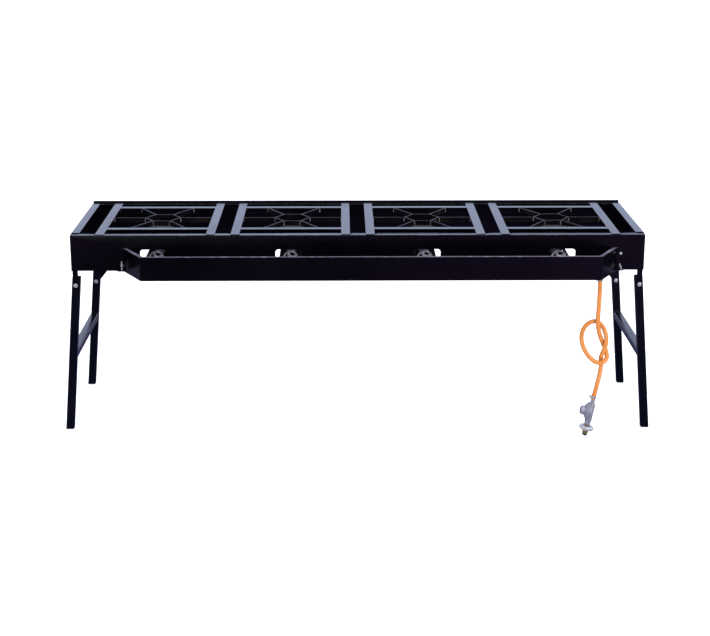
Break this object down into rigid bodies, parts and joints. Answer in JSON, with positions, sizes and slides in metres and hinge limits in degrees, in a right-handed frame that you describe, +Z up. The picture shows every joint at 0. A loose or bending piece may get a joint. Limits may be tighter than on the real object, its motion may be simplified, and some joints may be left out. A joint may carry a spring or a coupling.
{
  "type": "gas boiling table",
  "caption": "Long gas boiling table: row of burners under lift-off pot frames, tap guard, folding leg frames with stays, and an orange hose tied in a knot with a handwheel regulator.",
  "frame": {"origin": "floor point under the middle of the outer box, measured without the hose and what hangs on it", "axes": "+X along the table to its right-hand end as seen from the taps, +Y from the tap side to the back, +Z up"},
  "size_m": [1.7836, 0.5896, 0.615],
  "materials": {
    "gloss_black_paint": "gloss",
    "pot_support_paint": "satin, heat dulled",
    "zinc_bolts": "bright zinc plated",
    "cast_iron": "rough cast",
    "brass": "machined",
    "plated_brass": "satin plated",
    "black_plastic": "satin",
    "pipe_paint": "satin",
    "orange_hose": "smooth, slightly glossy",
    "die_cast_grey": "die cast, dull lacquer"
  },
  "bodies": {
    "root": {"burner_body_1": "cast_iron", "burner_body_2": "cast_iron", "burner_body_3": "cast_iron", "burner_body_4": "cast_iron", "burner_cap_1": "cast_iron", "burner_cap_2": "cast_iron", "burner_cap_3": "cast_iron", "burner_cap_4": "cast_iron", "burner_carrier_1": "gloss_black_paint", "burner_carrier_2": "gloss_black_paint", "burner_carrier_3": "gloss_black_paint", "burner_carrier_4": "gloss_black_paint", "front_panel": "gloss_black_paint", "gas_rail": "pipe_paint", "guard": "gloss_black_paint", "hinge_bolt_front_left": "zinc_bolts", "hinge_bolt_front_right": "zinc_bolts", "hinge_bolt_rear_left": "zinc_bolts", "hinge_bolt_rear_right": "zinc_bolts", "hose": "orange_hose", "hose_barb": "brass", "hose_clip_lower": "zinc_bolts", "hose_clip_upper": "zinc_bolts", "inlet_nozzle": "brass", "left_end_panel": "gloss_black_paint", "leg_hanger_left": "gloss_black_paint", "leg_hanger_right": "gloss_black_paint", "rear_panel": "gloss_black_paint", "regulator_body": "die_cast_grey", "regulator_bonnet": "die_cast_grey", "right_end_panel": "gloss_black_paint", "stay_guide_left": "gloss_black_paint", "stay_guide_right": "gloss_black_paint", "tap_body_1": "plated_brass", "tap_body_2": "plated_brass", "tap_body_3": "plated_brass", "tap_body_4": "plated_brass"},
    "leg_frame_left": {"leg_front_left": "gloss_black_paint", "leg_rear_left": "gloss_black_paint", "leg_crossbar_left": "gloss_black_paint", "stay_bolt_left": "zinc_bolts"},
    "stay_arm_left": {"stay_left": "gloss_black_paint"},
    "leg_frame_right": {"leg_front_right": "gloss_black_paint", "leg_rear_right": "gloss_black_paint", "leg_crossbar_right": "gloss_black_paint", "stay_bolt_right": "zinc_bolts"},
    "stay_arm_right": {"stay_right": "gloss_black_paint"},
    "pot_stand_1": {"pot_frame_1": "gloss_black_paint", "pot_support_1": "pot_support_paint"},
    "knob_1": {"tap_knob_1": "black_plastic"},
    "pot_stand_2": {"pot_frame_2": "gloss_black_paint", "pot_support_2": "pot_support_paint"},
    "knob_2": {"tap_knob_2": "black_plastic"},
    "pot_stand_3": {"pot_frame_3": "gloss_black_paint", "pot_support_3": "pot_support_paint"},
    "knob_3": {"tap_knob_3": "black_plastic"},
    "pot_stand_4": {"pot_frame_4": "gloss_black_paint", "pot_support_4": "pot_support_paint"},
    "knob_4": {"tap_knob_4": "black_plastic"},
    "wheel": {"handwheel": "die_cast_grey"}
  },
  "joints": [
    {"name": "leg_fold_left", "type": "hinge", "parent": "root", "child": "leg_frame_left", "pos_m": [-0.84, 0.05625, 0.4545], "axis": [0, -1, 0], "range_deg": [0, 95]},
    {"name": "stay_swing_left", "type": "hinge", "parent": "leg_frame_left", "child": "stay_arm_left", "pos_m": [-0.84888, 0.05625, 0.353], "axis": [0, 1, 0], "range_deg": [0, 126]},
    {"name": "leg_fold_right", "type": "hinge", "parent": "root", "child": "leg_frame_right", "pos_m": [0.84, 0.05625, 0.4545], "axis": [0, 1, 0], "range_deg": [0, 95]},
    {"name": "stay_swing_right", "type": "hinge", "parent": "leg_frame_right", "child": "stay_arm_right", "pos_m": [0.84888, 0.05625, 0.353], "axis": [0, -1, 0], "range_deg": [0, 126]},
    {"name": "pot_stand_lift_1", "type": "slide", "parent": "root", "child": "pot_stand_1", "axis": [0, 0, 1], "range_m": [0, 0.08]},
    {"name": "pot_stand_lift_2", "type": "slide", "parent": "root", "child": "pot_stand_2", "axis": [0, 0, 1], "range_m": [0, 0.08]},
    {"name": "pot_stand_lift_3", "type": "slide", "parent": "root", "child": "pot_stand_3", "axis": [0, 0, 1], "range_m": [0, 0.08]},
    {"name": "pot_stand_lift_4", "type": "slide", "parent": "root", "child": "pot_stand_4", "axis": [0, 0, 1], "range_m": [0, 0.08]},
    {"name": "tap_turn_1", "type": "hinge", "parent": "root", "child": "knob_1", "pos_m": [-0.6, -0.24375, 0.529], "axis": [0, -1, 0], "range_deg": [0, 90]},
    {"name": "tap_turn_2", "type": "hinge", "parent": "root", "child": "knob_2", "pos_m": [-0.2, -0.24375, 0.529], "axis": [0, -1, 0], "range_deg": [0, 90]},
    {"name": "tap_turn_3", "type": "hinge", "parent": "root", "child": "knob_3", "pos_m": [0.2, -0.24375, 0.529], "axis": [0, -1, 0], "range_deg": [0, 90]},
    {"name": "tap_turn_4", "type": "hinge", "parent": "root", "child": "knob_4", "pos_m": [0.6, -0.24375, 0.529], "axis": [0, -1, 0], "range_deg": [0, 90]},
    {"name": "handwheel_turn", "type": "hinge", "parent": "root", "child": "wheel", "pos_m": [0.68783, -0.24575, 0.02765], "axis": [0.1908, 0, 0.9816], "continuous": true}
  ],
  "couplings": [
    {"joint": "stay_swing_left", "follows": "leg_fold_left", "ratio": 1.3207},
    {"joint": "stay_swing_right", "follows": "leg_fold_right", "ratio": 1.3207}
  ]
}
